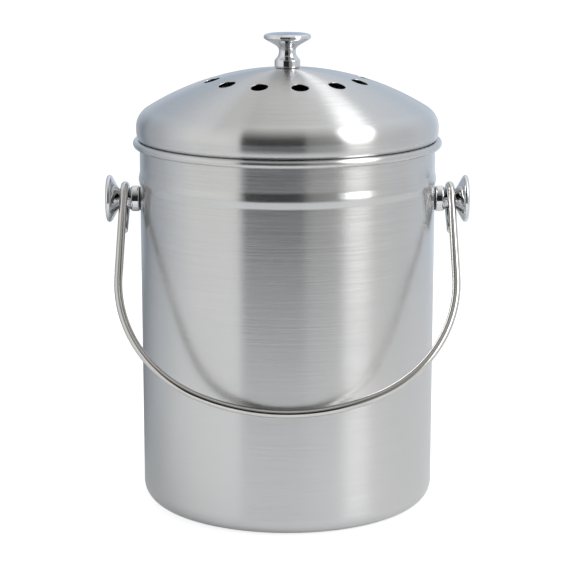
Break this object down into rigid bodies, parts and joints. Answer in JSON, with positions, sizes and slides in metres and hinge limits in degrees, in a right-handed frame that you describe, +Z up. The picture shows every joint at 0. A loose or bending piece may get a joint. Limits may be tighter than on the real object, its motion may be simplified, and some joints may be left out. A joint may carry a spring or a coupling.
{
  "type": "compost caddy",
  "caption": "Round steel countertop compost caddy with a domed lift-off vented lid, a charcoal filter in a twist-in tray, and a wire bail on two side knobs.",
  "frame": {"origin": "centre of the flat underside of the pail, on the pail's axis", "axes": "+Z up the pail's axis; -Y is the front, where the bail hangs; the side knobs lie along X"},
  "size_m": [0.2162, 0.184, 0.2807],
  "materials": {
    "brushed_steel": "brushed round the axis",
    "polished_steel": "mirror polished",
    "bail_steel": "polished rod",
    "plain_steel": "satin",
    "fastener_steel": "bright",
    "black_rubber": "matte",
    "charcoal_felt": "felted"
  },
  "bodies": {
    "pail": {"pail_shell": "brushed_steel", "side_knob_left": "polished_steel", "side_knob_right": "polished_steel", "side_gaskets": "black_rubber", "side_seal_washers": "black_rubber", "side_flat_washers": "fastener_steel", "side_lock_washers": "fastener_steel", "side_screws": "fastener_steel"},
    "lid": {"lid_shell": "brushed_steel", "lid_ring": "plain_steel", "lid_knob": "polished_steel", "lid_flat_washer": "fastener_steel", "lid_lock_washer": "fastener_steel", "lid_screw": "fastener_steel"},
    "filter_tray": {"filter_tray": "plain_steel"},
    "filter_pad": {"filter_pad": "charcoal_felt"},
    "bail": {"bail_handle": "bail_steel"}
  },
  "joints": [
    {"name": "lid_lift", "type": "slide", "parent": "pail", "child": "lid", "axis": [0, 0, 1], "range_m": [0, 0.15]},
    {"name": "bail_swing", "type": "hinge", "parent": "pail", "child": "bail", "pos_m": [0, 0, 0.1824], "axis": [-1, 0, 0], "range_deg": [0, 280]},
    {"name": "tray_turn", "type": "hinge", "parent": "lid", "child": "filter_tray", "pos_m": [0, 0, 0.2087], "axis": [0, 0, 1], "range_deg": [0, 30]},
    {"name": "pad_lift", "type": "slide", "parent": "filter_tray", "child": "filter_pad", "axis": [0, 0, 1], "range_m": [0, 0.02]}
  ]
}
